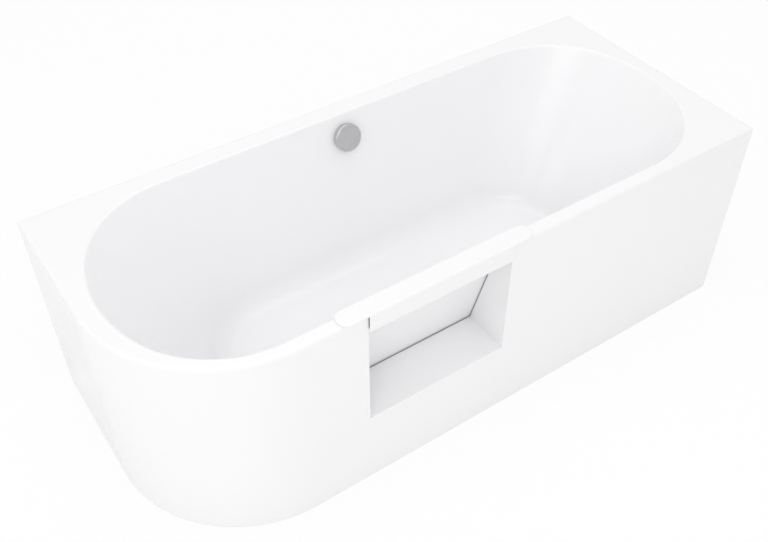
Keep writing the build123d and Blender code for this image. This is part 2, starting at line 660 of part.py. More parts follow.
def make_trap():
    """Cup trap under the drain, with the socket of the outlet pipe."""
    inner = TRAP_RADIUS - TRAP_WALL
    trap = post(TRAP_RADIUS, TRAP_FOOT, DRAIN_BODY_FOOT)
    pipe = OUTLET_RADIUS + OUTLET_STEP
    trap += along_y(pipe + SOCKET_WALL, 0, TRAP_RADIUS + SOCKET_LENGTH, 0, OUTLET_HEIGHT)
    trap -= post(inner, TRAP_FOOT + TRAP_WALL, DRAIN_BODY_FOOT - TRAP_WALL)
    trap -= post(DRAIN_BODY_RADIUS - OVERFLOW_BODY_WALL, TRAP_FOOT + TRAP_WALL, DRAIN_BODY_FOOT)
    trap -= along_y(OUTLET_RADIUS - PIPE_WALL, 0, TRAP_RADIUS + SOCKET_LENGTH, 0, OUTLET_HEIGHT)
    trap -= along_y(pipe + RUNNING_GAP, TRAP_RADIUS, TRAP_RADIUS + SOCKET_LENGTH, 0, OUTLET_HEIGHT)
    return at_drain(trap)


def make_outlet_pipe():
    """Waste pipe towards the wall, stepped down to a spigot at its free end."""
    end = WALL - OUTLET_BACK_GAP - BASIN_MIDDLE
    pipe = along_y(OUTLET_RADIUS + OUTLET_STEP, TRAP_RADIUS, end - SPIGOT_LENGTH, 0, OUTLET_HEIGHT)
    pipe += along_y(OUTLET_RADIUS, end - SPIGOT_LENGTH, end, 0, OUTLET_HEIGHT)
    return at_drain(pipe - along_y(OUTLET_RADIUS - PIPE_WALL, TRAP_RADIUS, end, 0, OUTLET_HEIGHT))


def make_plug():
    plug = post(PLUG_RADIUS, PLUG_FOOT, PLUG_FOOT + PLUG_THICKNESS)
    return at_drain(fillet(plug.edges().group_by(Axis.Z)[-1], PLUG_THICKNESS / 3))


def make_plug_seal():
    return at_drain(tube(PLUG_RADIUS - 2, NECK_RADIUS, PLUG_FOOT - PLUG_SEAL_HEIGHT, PLUG_FOOT))


def make_plug_stem():
    return at_drain(post(STEM_RADIUS, STEM_FOOT, PLUG_FOOT))


def hollow_bar(x0, x1, y0, y1, along):
    """Square steel tube of the base frame, open at both ends."""
    bar = block(x0, x1, y0, y1, BAR_UNDER, BOARD_UNDER)
    if along == "x":
        inside = block(x0 - 1, x1 + 1, y0 + BAR_WALL, y1 - BAR_WALL,
                       BAR_UNDER + BAR_WALL, BOARD_UNDER - BAR_WALL)
    else:
        inside = block(x0 + BAR_WALL, x1 - BAR_WALL, y0 - 1, y1 + 1,
                       BAR_UNDER + BAR_WALL, BOARD_UNDER - BAR_WALL)
    return bar - inside


def board_screw_places():
    return [(LEFT + place, BASIN_MIDDLE + side * BOARD_SCREW_SPREAD)
            for place in BAR_PLACES for side in (-1, 1)]


def foot_places():
    return {
        "front_left": (LEFT + BAR_PLACES[0], FRONT + FOOT_INSET_FRONT),
        "front_right": (LEFT + BAR_PLACES[1], FRONT + FOOT_INSET_FRONT),
        "back_left": (LEFT + BAR_PLACES[0], WALL - FOOT_INSET_BACK),
        "back_right": (LEFT + BAR_PLACES[1], WALL - FOOT_INSET_BACK),
    }


def make_board():
    length = BASIN_RIGHT - BASIN_LEFT - 2 * (END_RUN + BOARD_END_MARGIN)
    width = 2 * (FLOOR_HALF_WIDTH - BOARD_SIDE_MARGIN)
    outline = Pos(WASTE_X, BASIN_MIDDLE, BOARD_UNDER) * RectangleRounded(length, width, BOARD_CORNER)
    board = extrude(outline, BOARD_THICKNESS)
    board -= at_drain(post(DRAIN_BODY_RADIUS + BOARD_HOLE_GAP, BOARD_UNDER, SHELL_UNDER))
    for x, y in board_screw_places():
        board -= Pos(x, y, BOARD_UNDER) * screw_hole(0, BOARD_SCREW_BITE)
    return board


def make_cross_bar(place):
    x = LEFT + place
    bar = hollow_bar(x - BAR_WIDTH / 2, x + BAR_WIDTH / 2, FRONT + APRON_WALL + RAIL_WIDTH,
                     WALL - CROSS_BAR_BACK, "y")
    for sx, sy in board_screw_places():
        bar -= Pos(sx, sy, BAR_UNDER) * screw_hole(-1, BAR_HEIGHT + 1)
    for fx, fy in foot_places().values():
        bar -= post(FOOT_ROD_RADIUS + RUNNING_GAP, BAR_UNDER - 1, BOARD_UNDER + 1, fx, fy)
    return bar


def make_front_rail():
    return hollow_bar(LEFT + CORNER_RADIUS + RAIL_WIDTH, RIGHT - RAIL_WIDTH, FRONT + APRON_WALL,
                      FRONT + APRON_WALL + RAIL_WIDTH, "x")


def make_end_rail():
    return hollow_bar(LEFT + APRON_WALL, LEFT + APRON_WALL + RAIL_WIDTH,
                      FRONT + CORNER_RADIUS + RAIL_WIDTH, WALL - RAIL_WIDTH, "y")


def make_end_bar():
    return hollow_bar(LEFT + APRON_WALL + RAIL_WIDTH, LEFT + BAR_PLACES[0] - BAR_WIDTH / 2,
                      END_BAR_Y - BAR_WIDTH / 2, END_BAR_Y + BAR_WIDTH / 2, "x")


def make_sill_beam():
    y = FRONT + SILL_BEAM_INSET
    return hollow_bar(LEFT + BAR_PLACES[0] + BAR_WIDTH / 2, LEFT + BAR_PLACES[1] - BAR_WIDTH / 2,
                      y - RAIL_WIDTH / 2, y + RAIL_WIDTH / 2, "x")


def make_sill_posts():
    half = RAIL_WIDTH / 2
    rows = (FRONT + APRON_WALL + half, FRONT + SILL_BEAM_INSET)
    posts = [block(LEFT + place - half, LEFT + place + half, y - half, y + half,
                   BOARD_UNDER, NICHE_SILL_HEIGHT - LINER_WALL)
             for place in POST_PLACES for y in rows]
    return merged(posts)


def make_board_screws():
    length = BAR_HEIGHT + BOARD_SCREW_BITE
    return merged([Pos(x, y, BAR_UNDER) * (Rot(X=180) * screw(length)) for x, y in board_screw_places()])


def make_lock_nuts():
    """Nuts above and below the cross bars at each foot."""
    nuts = []
    for x, y in foot_places().values():
        for z in (BAR_UNDER - NUT_HEIGHT, BOARD_UNDER):
            nut = extrude(Pos(x, y, z) * RegularPolygon(NUT_RADIUS, 6), NUT_HEIGHT)
            nuts.append(nut - post(FOOT_ROD_RADIUS + RUNNING_GAP, z, z + NUT_HEIGHT, x, y))
    return merged(nuts)


def make_wall_bracket():
    """Hook under the rim's lip with a plate on the wall, the wall at Y 0."""
    half, thick = WALL_BRACKET_WIDTH / 2, WALL_BRACKET_THICKNESS
    lip = RIM_HEIGHT - RIM_LIP
    hook = SHELL_WALL + PART_GAP
    bracket = block(-half, half, -thick, 0, lip - WALL_BRACKET_DROP, lip)
    bracket += block(-half, half, -hook - thick, 0, lip - thick, lip)
    bracket += block(-half, half, -hook - thick, -hook, lip - thick, RIM_HEIGHT - SHELL_WALL - PART_GAP)
    for side in (-1, 1):
        z = lip - WALL_BRACKET_DROP / 2 + side * WALL_HOLE_SPACING / 2
        bracket -= along_y(WALL_HOLE_RADIUS, -thick - 1, 1, 0, z)
    return bracket


def make_clips():
    """Blocks that bond the apron's top to the rim."""
    y0, z1 = FRONT + APRON_WALL, RIM_HEIGHT - SHELL_WALL
    middles = [LEFT + CLIP_FROM_LEFT, NICHE_X1 + CLIP_PAST_NICHE]
    middles += [RIGHT - place for place in CLIPS_FROM_RIGHT]
    clips = [block(x - CLIP_SIZE, x + CLIP_SIZE, y0, y0 + CLIP_SIZE, z1 - CLIP_SIZE, z1) for x in middles]
    x0 = LEFT + APRON_WALL
    clips += [block(x0, x0 + CLIP_SIZE, WALL - place - CLIP_SIZE, WALL - place + CLIP_SIZE, z1 - CLIP_SIZE, z1)
              for place in END_CLIP_PLACES]
    return merged(clips)


BASIN_OUTSIDE = basin_solid(SHELL_WALL)
BASIN_INSIDE = basin_solid(0)

pieces = {
    "bath_shell": make_shell(),
    "apron_panel": make_apron(),
    "niche_liner": make_niche_liner(),
    "rim_clips": make_clips(),
    "floor_board": make_board(),
    "board_screws": make_board_screws(),
    "cross_bar_left": make_cross_bar(BAR_PLACES[0]),
    "cross_bar_right": make_cross_bar(BAR_PLACES[1]),
    "front_rail": make_front_rail(),
    "end_rail": make_end_rail(),
    "end_bar": make_end_bar(),
    "sill_beam": make_sill_beam(),
    "sill_posts": make_sill_posts(),
    "lock_nuts": make_lock_nuts(),
    "end_wall_bracket": Pos(RIGHT, BASIN_MIDDLE) * (Rot(Z=-90) * make_wall_bracket()),
    "hinge_brackets": make_hinge_brackets(),
    "hinge_pins": make_hinge_pins(),
    "hinge_bracket_screws": make_bracket_screws(),
    "hinge_backing_plate": make_backing_plate(),
    "magnet_keeper": make_keeper(),
    "overflow_rosette": make_overflow_rosette(),
    "overflow_gasket": make_overflow_gasket(),
    "overflow_body": make_overflow_body(),
    "overflow_pipe": make_overflow_pipe(),
    "plug_cable": make_cable(),
    "drain_flange": make_drain_flange(),
    "drain_gasket": make_drain_gasket(),
    "drain_body": make_drain_body(),
    "trap": make_trap(),
    "outlet_pipe": make_outlet_pipe(),
    "overflow_knob": make_knob(),
    "knob_spindle": make_spindle(),
    "drain_plug": make_plug(),
    "plug_seal": make_plug_seal(),
    "plug_stem": make_plug_stem(),
    "door_outer_skin": leaf_slab(SEAL_THICKNESS, SEAL_THICKNESS + SKIN_THICKNESS),
    "door_core": make_door_core(),
    "door_inner_skin": leaf_slab(SEAL_THICKNESS + SKIN_THICKNESS + CORE_THICKNESS,
                                 SEAL_THICKNESS + LEAF_THICKNESS),
    "door_seal": make_door_seal(),
    "rim_cap": make_rim_cap(),
    "cap_core": make_cap_core(),
    "cap_magnet": magnet_block(NICHE_X0 + MAGNET_INSET),
    "hinge_straps": make_hinge_straps(),
    "hinge_bushes": make_hinge_bushes(),
    "strap_screws": make_strap_screws(),
}
for number, place in enumerate(WALL_BRACKET_PLACES, start=1):
    pieces[f"wall_bracket_{number}"] = Pos(LEFT + place, WALL) * make_wall_bracket()
for corner, (foot_x, foot_y) in foot_places().items():
    pieces[f"foot_rod_{corner}"] = post(FOOT_ROD_RADIUS, FOOT_PAD_HEIGHT, FOOT_ROD_TOP, foot_x, foot_y)
    pieces[f"foot_pad_{corner}"] = post(FOOT_PAD_RADIUS, 0, FOOT_PAD_HEIGHT, foot_x, foot_y)

os.makedirs("parts", exist_ok=True)
for name, piece in pieces.items():
    export_step(piece, f"parts/{name}.step")
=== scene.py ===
import bmesh
import bpy
import json
from collections import namedtuple
from math import atan2, cos, pi, radians, sin
from mathutils import Matrix, Vector


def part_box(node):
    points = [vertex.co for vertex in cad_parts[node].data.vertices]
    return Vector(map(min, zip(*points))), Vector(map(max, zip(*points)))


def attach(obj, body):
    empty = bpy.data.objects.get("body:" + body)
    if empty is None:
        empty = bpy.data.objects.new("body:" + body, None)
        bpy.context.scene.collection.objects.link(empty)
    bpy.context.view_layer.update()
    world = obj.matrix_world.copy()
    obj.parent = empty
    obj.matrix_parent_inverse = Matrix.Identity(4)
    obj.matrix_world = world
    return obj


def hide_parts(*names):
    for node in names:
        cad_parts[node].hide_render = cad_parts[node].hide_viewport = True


bl_info = {
    "name": "Walk-in bathtub",
    "version": (1, 0, 0),
    "blender": (4, 5, 0),
    "location": "View3D > Sidebar > Bathtub",
    "description": "Finishes the pieces of a walk-in bathtub and sets the stage round it",
    "category": "Object",
}

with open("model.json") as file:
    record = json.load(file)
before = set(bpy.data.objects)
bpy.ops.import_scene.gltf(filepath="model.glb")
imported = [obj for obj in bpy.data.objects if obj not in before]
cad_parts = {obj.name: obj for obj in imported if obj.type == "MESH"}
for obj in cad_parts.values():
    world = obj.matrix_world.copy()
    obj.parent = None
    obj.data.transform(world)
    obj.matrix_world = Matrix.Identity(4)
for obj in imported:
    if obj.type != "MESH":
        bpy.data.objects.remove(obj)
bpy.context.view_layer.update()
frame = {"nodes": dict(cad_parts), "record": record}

# Metres in a millimetre, and the gap in metres within which points count as one
MM = 0.001
WELD = 0.00002

# Angles for joining flat triangles, for easing edges and for smooth shading
FLAT_ANGLE = radians(0.5)
EDGE_ANGLE = radians(40)
SMOOTH_ANGLE = radians(35)

# Places that the construction nodes give, in millimetres
LEAN = radians(15.3)
OVERFLOW_PLACE = (2.5, 285.765, 512.0)
DRAIN_PLACE = (2.5, -7.5)
OUTLET_HEIGHT = 58
TRAP_TOP = 94
CAP_THICKNESS = 5
SCREW_HEAD_HEIGHT = 2
FOOT_CORNERS = ("front_left", "front_right", "back_left", "back_right")

# Undersides of the two lock nuts on each foot's rod
NUT_HEIGHTS = (107, 133)

# Soft lip at the free end of the cap's skirt: its ends along X, how far it lies behind the
# skirt's face and above the skirt's foot, and the rounding of its edges
LIP_ENDS = (-342.8, -337)
LIP_SETBACK = 0.3
LIP_RISE = 1
LIP_ROUNDING = 0.5

# The skin's hidden side, told by place in metres and by the slope of a face's normal
SHELL_LIP_FOOT = 0.546
NICHE_SIDES = (-0.343, 0.05)
SIDE_MARGIN = WELD * 10
UPRIGHT = 0.05
FACING = 0.5

# Direction from tip to head of the screws of each node
WALL_NORMAL = Vector((0, cos(LEAN), sin(LEAN)))
SCREW_WAYS = {
    "board_screws": Vector((0, 0, -1)),
    "hinge_bracket_screws": WALL_NORMAL,
    "strap_screws": Vector((1, 0, 0)),
}

# Easing of the rosette and the drain's flange, and the other nodes whose sharp edges are
# eased, each with its width in millimetres
RING_EASE = 0.8
EASED_NODES = {
    "cross_bar_left": 1.2, "cross_bar_right": 1.2, "front_rail": 1.2, "end_rail": 1.2,
    "end_bar": 1.2, "sill_beam": 1.2, "sill_posts": 1.2, "end_wall_bracket": 0.6,
    "wall_bracket_1": 0.6, "wall_bracket_2": 0.6, "wall_bracket_3": 0.6,
    "hinge_brackets": 0.4, "hinge_straps": 0.4, "hinge_backing_plate": 0.5,
    "floor_board": 1.5, "rim_clips": 1.5, "door_outer_skin": 0.8, "door_inner_skin": 1.4,
    "door_core": 0.5, "cap_core": 0.5, "door_seal": 0.6,
}

# Outlines of turned pieces: radius and height of each point, in millimetres. The knob's
# heights are above the wall, and the others' above the foot or the top that a name gives
KNOB_OUTLINE = (
    (34.0, 7.5), (36.6, 7.6), (38.0, 8.6), (38.5, 10.2), (38.5, 17.6), (38.1, 19.0),
    (37.0, 20.3), (35.2, 21.2), (33.6, 21.45), (32.6, 21.3), (31.8, 20.9), (30.8, 20.75),
    (18.0, 20.45), (6.0, 20.4),
)
PLUG_OUTLINE = (
    (27.0, 0), (30.2, 0), (30.9, 0.4), (31.0, 1.1), (30.4, 1.9), (28.6, 2.5), (24.0, 3.1),
    (16.0, 3.6), (8.0, 3.9), (1.5, 4.0),
)
PAD_FOOT_OUTLINE = (
    (20.5, 0), (21.7, 0.5), (22.0, 1.4), (22.0, 3.2), (21.2, 4.2), (19.6, 4.6), (18.6, 5.4),
    (12.5, 8.2), (11.2, 9.0),
)
PAD_TOP_OUTLINE = ((10.8, -0.8), (10.0, 0))
ROD_FOOT_OUTLINE = ((4.0, 0), (4.6, 0.6))
ROD_TOP_OUTLINE = ((4.6, -0.6), (3.8, 0))
SCREW_TIP_OUTLINE = ((0.7, 0.0), (1.5, 1.6))
SCREW_NECK_OUTLINE = ((2.0, -0.3), (2.0, 0), (3.3, 0), (3.6, 0.4), (3.4, 1.2))
SCREW_SOCKET_OUTLINE = ((2.7, -0.2), (1.9, 0), (1.5, 0), (1.4, -1.2), (0.8, -1.3))
ROUND_SIDES = 96
PAD_SIDES = 40
ROD_SIDES = 20
SCREW_SIDES = 18

# Lock nut of a foot: bore, radius over its corners, height and corner cut
NUT_BORE = 5.9
NUT_RADIUS = 9.0
NUT_HEIGHT = 6.0
NUT_CUT = (1.1, 1.0)

# A thread's crest and root radius and its pitch, then the heights above a turn's start at
# which its crest ends and its root starts and ends. margins are the plain lengths at the
# threaded length's low and high end
Thread = namedtuple("Thread", "crest root pitch crest_end root_start root_end margins")
ROD_THREAD = Thread(5.0, 4.45, 1.5, 0.3, 0.75, 1.05, (1.2, 2.2))
SCREW_THREAD = Thread(2.0, 1.6, 1.1, 0.2, 0.6, 0.8, (2.2, 2.0))

# Union nuts: corner cut and sides, then the number and height of their grip ribs, and the
# share of the radius and the slope that tell the faces that carry them
UNION_NUT_CUT = (1, 1)
UNION_NUT_SIDES = 72
RIB_COUNT = 24
RIB_HEIGHT = 0.8
RIB_REACH = 0.97
RIB_SLOPE = 0.2

# Light and dark tones, and plain colours
ZINC_TONES = ((0.56, 0.57, 0.58), (0.38, 0.39, 0.4))
STEEL_TONES = ((0.62, 0.61, 0.6), (0.5, 0.49, 0.48))
BOARD_TONES = ((0.62, 0.46, 0.29), (0.34, 0.23, 0.13))
FOAM_COLOUR = (0.78, 0.77, 0.72)
GASKET_COLOUR = (0.03, 0.03, 0.03)
WASTE_COLOUR = (0.36, 0.37, 0.38)
FOOT_COLOUR = (0.035, 0.035, 0.037)
STUDIO_WHITE = (0.95, 0.95, 0.95, 1)
PURE_WHITE = (1, 1, 1, 1)

# Camera of the photograph, in the frame of the bath
CAMERA_PLACE = (-1.0807, -1.5074, 2.0156)
CAMERA_TURN = (46.253, 0.166, -34.085)
CAMERA_LENS = 44.764
CAMERA_SENSOR = 36.0

# Stage: size and glow of the floor, and place and width of each soft light, in metres
FLOOR_SIZE = 40
FLOOR_GLOW = 0.88
LIGHT_TARGET = (0, 0, 0.3)
LIGHT_WATTS = 100
LIGHTS = {
    "key": ((-2.6, -2.6, 2.6), 2.4),
    "side": ((-4.2, 0.0, 1.5), 2.4),
    "front": ((-2.0, -3.0, 4.2), 3.0),
    "top": ((0.4, 0.6, 4.0), 3.0),
}


class BathSettings(bpy.types.PropertyGroup):
    """Sizes and colours of the finish that a user may change."""

    cap_rounding: bpy.props.FloatProperty(
        name="Cap rounding", description="Radius of the rim cap's edges",
        unit="LENGTH", precision=4, min=0.0001, max=0.002, default=1.5 * MM)
    lip_thickness: bpy.props.FloatProperty(
        name="Lip thickness", description="Thickness of the soft lip at the cap's free end",
        unit="LENGTH", precision=4, min=0.001, max=0.003, default=1.5 * MM)
    acrylic_colour: bpy.props.FloatVectorProperty(
        name="Acrylic colour", description="Colour of the gloss acrylic",
        subtype="COLOR", size=3, min=0, max=1, default=(0.94, 0.94, 0.95))
    acrylic_roughness: bpy.props.FloatProperty(
        name="Acrylic roughness", description="Roughness of the gloss acrylic",
        subtype="FACTOR", min=0, max=1, default=0.22)
    backing_colour: bpy.props.FloatVectorProperty(
        name="Backing colour", description="Colour of the sprayed resin behind the acrylic",
        subtype="COLOR", size=3, min=0, max=1, default=(0.66, 0.64, 0.58))
    seal_colour: bpy.props.FloatVectorProperty(
        name="Seal colour", description="Colour of the door's seal",
        subtype="COLOR", size=3, min=0, max=1, default=(0.3, 0.3, 0.31))
    chrome_colour: bpy.props.FloatVectorProperty(
        name="Chrome colour", description="Colour of the satin chrome",
        subtype="COLOR", size=3, min=0, max=1, default=(0.62, 0.62, 0.63))


class StageSettings(bpy.types.PropertyGroup):
    """Strengths of the studio's lights, in hundreds of watts apart from the sky's."""

    sky: bpy.props.FloatProperty(
        name="Sky", description="Strength of the even white light all round",
        min=0, default=0.81)
    key: bpy.props.FloatProperty(
        name="Key", description="Strength of the soft light from the front left",
        min=0, default=0.09)
    side: bpy.props.FloatProperty(
        name="Side", description="Strength of the soft light from the left",
        min=0, default=0.07)
    front: bpy.props.FloatProperty(
        name="Front", description="Strength of the soft light from the front",
        min=0, default=0.32)
    top: bpy.props.FloatProperty(
        name="Top", description="Strength of the soft light from above",
        min=0, default=0.18)


class Value:
    """A shader socket that takes part in Python arithmetic."""

    def __init__(self, tree, socket):
        self.tree = tree
        self.socket = socket

    def math(self, operation, first, second):
        node = self.tree.nodes.new("ShaderNodeMath")
        node.operation = operation
        for place, term in enumerate((first, second)):
            if isinstance(term, Value):
                self.tree.links.new(term.socket, node.inputs[place])
            else:
                node.inputs[place].default_value = term
        return Value(self.tree, node.outputs[0])

    def __add__(self, other):
        return self.math("ADD", self, other)

    def __radd__(self, other):
        return self.math("ADD", other, self)

    def __sub__(self, other):
        return self.math("SUBTRACT", self, other)

    def __mul__(self, other):
        return self.math("MULTIPLY", self, other)

    def __rmul__(self, other):
        return self.math("MULTIPLY", other, self)


class Finish:
    """A material with one Principled shader, and short ways to add nodes to it."""

    def __init__(self, name, **sockets):
        self.material = bpy.data.materials.new(name)
        self.material.use_nodes = True
        self.tree = self.material.node_tree
        self.shader = self.tree.nodes["Principled BSDF"]
        self.output = self.tree.nodes["Material Output"]
        self.place = self.node("ShaderNodeTexCoord").outputs["Object"]
        for socket, setting in sockets.items():
            self.shader.inputs[socket.replace("_", " ")].default_value = setting

    def node(self, kind, settings=None, **sockets):
        node = self.tree.nodes.new(kind)
        for name, setting in (settings or {}).items():
            setattr(node, name, setting)
        for name, term in sockets.items():
            self.feed(node.inputs[name.replace("_", " ")], term)
        return node

    def feed(self, socket, term):
        if isinstance(term, Value):
            term = term.socket
        if isinstance(term, bpy.types.NodeSocket):
            self.tree.links.new(term, socket)
        else:
            socket.default_value = term

    def set(self, name, term):
        self.feed(self.shader.inputs[name], term)

    def value(self, socket):
        return Value(self.tree, socket)

    def noise(self, scale, detail=2.0, rough=0.5, stretch=(1, 1, 1)):
        """Noise in object space, from 0 to 1 around 0.5, stretched along the axes."""
        mapping = self.node("ShaderNodeMapping", None, Vector=self.place, Scale=stretch)
        node = self.node("ShaderNodeTexNoise", None, Vector=mapping.outputs[0], Scale=scale,
                         Detail=detail, Roughness=rough)
        return self.value(node.outputs["Fac"])

    def ramp(self, term, low, high):
        """Runs from 0 at low to 1 at high, smoothly."""
        node = self.node("ShaderNodeMapRange", {"interpolation_type": "SMOOTHSTEP"}, Value=term)
        node.inputs["From Min"].default_value = low
        node.inputs["From Max"].default_value = high
        return self.value(node.outputs["Result"])

    def blend(self, factor, first, second):
        """Colour between two colours."""
        node = self.node("ShaderNodeMix", {"data_type": "RGBA"})
        self.feed(node.inputs[0], factor)
        for place, term in ((6, first), (7, second)):
            self.feed(node.inputs[place], (*term, 1) if isinstance(term, tuple) else term)
        return node.outputs[2]

    def either(self, factor, first, second):
        """Shader between the shaders of two nodes."""
        node = self.node("ShaderNodeMixShader")
        for place, term in enumerate((factor, first.outputs[0], second.outputs[0])):
            self.feed(node.inputs[place], term)
        return node

    def bump(self, height, strength, distance):
        """Raises the surface by a height, over a distance in metres."""
        node = self.node("ShaderNodeBump", None, Height=height, Strength=strength,
                         Distance=distance)
        self.set("Normal", node.outputs["Normal"])


def shades(colour, amount):
    """A colour and the same a little darker."""
    return tuple(colour), tuple(c * (1 - amount) for c in colour)


def gloss_acrylic():
    """White sanitary acrylic: nearly even, with the faintest waviness of a formed sheet."""
    tub = bpy.context.scene.bath_settings
    finish = Finish("gloss_acrylic", IOR=1.49, Coat_Weight=0.25, Coat_Roughness=0.08)
    light, dark = shades(tub.acrylic_colour, 0.015)
    finish.set("Base Color", finish.blend(finish.noise(3.0, 3.0), light, dark))
    finish.set("Roughness", tub.acrylic_roughness + 0.06 * (finish.noise(9.0, 2.0) - 0.5))
    finish.bump(finish.noise(14.0, 1.0), 0.05, 0.002)
    return finish.material


def resin_backing():
    """Glass-fibre resin sprayed on the hidden side of the acrylic."""
    tub = bpy.context.scene.bath_settings
    finish = Finish("resin_backing", IOR=1.5)
    fibres = (finish.noise(160.0, 6.0, 0.7, (1, 0.35, 1)) * 0.6
              + finish.noise(160.0, 6.0, 0.7, (0.35, 1, 1)) * 0.4)
    light, dark = shades(tub.backing_colour, 0.3)
    finish.set("Base Color", finish.blend(finish.ramp(fibres, 0.4, 0.62), light, dark))
    finish.set("Roughness", 0.45 + 0.3 * finish.noise(40.0, 3.0))
    finish.bump(fibres, 0.6, 0.002)
    return finish.material


def satin_chrome():
    """Brushed chrome of the knob, the plug and their rings."""
    tub = bpy.context.scene.bath_settings
    finish = Finish("satin_chrome", Metallic=1.0)
    brushed = finish.noise(30.0, 4.0, 0.6, (1, 1, 14))
    light, dark = shades(tub.chrome_colour, 0.12)
    finish.set("Base Color", finish.blend(brushed, light, dark))
    finish.set("Roughness", 0.24 + 0.12 * (brushed - 0.5))
    return finish.material


def seal_rubber():
    """Dull rubber of the door's seal."""
    tub = bpy.context.scene.bath_settings
    finish = Finish("seal_rubber", IOR=1.52)
    light, dark = shades(tub.seal_colour, 0.25)
    finish.set("Base Color", finish.blend(finish.noise(220.0, 3.0), light, dark))
    finish.set("Roughness", 0.6 + 0.2 * (finish.noise(90.0, 2.0) - 0.5))
    finish.bump(finish.noise(700.0, 2.0), 0.25, 0.0004)
    return finish.material


def plain_plastic(name, colour, roughness, grain):
    """Moulded plastic with a fine grain."""
    finish = Finish(name, IOR=1.5)
    light, dark = shades(colour, 0.12)
    finish.set("Base Color", finish.blend(finish.noise(grain / 8, 3.0), light, dark))
    finish.set("Roughness", roughness + 0.15 * (finish.noise(grain / 4, 2.0) - 0.5))
    finish.bump(finish.noise(grain, 2.0), 0.2, 0.0003)
    return finish.material


def zinc_steel():
    """Galvanised steel with its spangle."""
    finish = Finish("zinc_steel", Metallic=1.0)
    cells = finish.node("ShaderNodeTexVoronoi", None, Vector=finish.place, Scale=90.0)
    spangle = finish.value(cells.outputs["Color"])
    patches = finish.noise(14.0, 4.0, 0.6)
    finish.set("Base Color", finish.blend(spangle * 0.6 + patches * 0.4, *ZINC_TONES))
    finish.set("Roughness", 0.34 + 0.22 * patches)
    return finish.material


def stainless_steel():
    """Stainless steel of the hinges and screws."""
    finish = Finish("stainless_steel", Metallic=1.0)
    brushed = finish.noise(60.0, 4.0, 0.6, (1, 10, 1))
    finish.set("Base Color", finish.blend(brushed, *STEEL_TONES))
    finish.set("Roughness", 0.26 + 0.16 * (brushed - 0.5))
    return finish.material


def floor_board_wood():
    """Particle board under the basin's floor."""
    finish = Finish("particle_board", IOR=1.45)
    flakes = finish.node("ShaderNodeTexVoronoi", None, Vector=finish.place, Scale=260.0)
    chips = finish.value(flakes.outputs["Color"])
    shade = chips * 0.7 + finish.noise(60.0, 4.0) * 0.3
    finish.set("Base Color", finish.blend(shade, *BOARD_TONES))
    finish.set("Roughness", 0.75 + 0.15 * (finish.noise(120.0, 2.0) - 0.5))
    finish.bump(chips, 0.35, 0.0006)
    return finish.material


MATERIALS = {}


def materials():
    """The record's material slots, each with its finish, made once."""
    if not MATERIALS:
        MATERIALS.update({
            "white_acrylic": gloss_acrylic(),
            "resin_backing": resin_backing(),
            "foam_core": plain_plastic("foam_core", FOAM_COLOUR, 0.8, 600.0),
            "board": floor_board_wood(),
            "zinc_steel": zinc_steel(),
            "stainless": stainless_steel(),
            "chrome": satin_chrome(),
            "dark_rubber": plain_plastic("gasket_rubber", GASKET_COLOUR, 0.7, 900.0),
            "seal_rubber": seal_rubber(),
            "grey_plastic": plain_plastic("waste_plastic", WASTE_COLOUR, 0.4, 700.0),
            "dark_plastic": plain_plastic("foot_plastic", FOOT_COLOUR, 0.45, 800.0),
        })
    return MATERIALS


def slot_of(node):
    """Material slot that the record gives a node."""
    for part in frame["record"]["subparts"]:
        if part["node"] == node:
            return part["material_slot"]
    raise RuntimeError(f"no material slot for {node}")


def body_of(node):
    """Body that a node moves with."""
    for body, members in frame["record"]["behaviour"]["bodies"].items():
        if node in members:
            return body
    raise RuntimeError(f"no body for {node}")


class BATH_OT_node_finishes(bpy.types.Operator):
    """Gives every construction node the finish of its material slot"""

    bl_idname = "bath.node_finishes"
    bl_label = "Node finishes"

    def execute(self, context):
        for name, node in frame["nodes"].items():
            node.data.materials.clear()
            node.data.materials.append(materials()[slot_of(name)])
        return {"FINISHED"}


def on_body(piece, body, slot, *nodes):
    """Ties a piece to its body, its material slot and the nodes that it stands for."""
    piece.data.materials.clear()
    piece.data.materials.append(materials()[slot])
    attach(piece, body)
    if nodes:
        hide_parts(*nodes)
    return piece


def stand_for(piece, node):
    """Lets a finished piece take the place of a node, on its body and with its finish."""
    return on_body(piece, body_of(node), slot_of(node), node)


def only(piece):
    """Makes a piece the one that is selected and active."""
    bpy.ops.object.select_all(action="DESELECT")
    piece.select_set(True)
    bpy.context.view_layer.objects.active = piece


def copy_of(node, name):
    """Copy of a CAD node's mesh as a piece of its own."""
    piece = bpy.data.objects.new(name, frame["nodes"][node].data.copy())
    bpy.context.collection.objects.link(piece)
    only(piece)
    return piece


def apply_modifiers(piece):
    """Makes a piece's modifiers part of its mesh."""
    only(piece)
    for modifier in list(piece.modifiers):
        bpy.ops.object.modifier_apply(modifier=modifier.name)


def keep_flat(piece):
    """Stops the rounded edges from shading the flat faces beside them."""
    weighted = piece.modifiers.new("flat faces", "WEIGHTED_NORMAL")
    weighted.keep_sharp = True
    apply_modifiers(piece)


def eased_copy(node, name, width, segments=2):
    """Copy of a CAD node with its triangles joined and its sharp edges eased."""
    piece = copy_of(node, name)
    bpy.ops.mesh.customdata_custom_splitnormals_clear()
    bpy.ops.object.mode_set(mode="EDIT")
    bpy.ops.mesh.select_all(action="SELECT")
    bpy.ops.mesh.remove_doubles(threshold=WELD)
    bpy.ops.mesh.dissolve_limited(angle_limit=FLAT_ANGLE)
    bpy.ops.object.mode_set(mode="OBJECT")
    bevel = piece.modifiers.new("eased", "BEVEL")
    bevel.width = width
    bevel.segments = segments
    bevel.limit_method = "ANGLE"
    bevel.angle_limit = EDGE_ANGLE
    apply_modifiers(piece)
    bpy.ops.object.shade_smooth_by_angle(angle=SMOOTH_ANGLE)
    keep_flat(piece)
    return piece


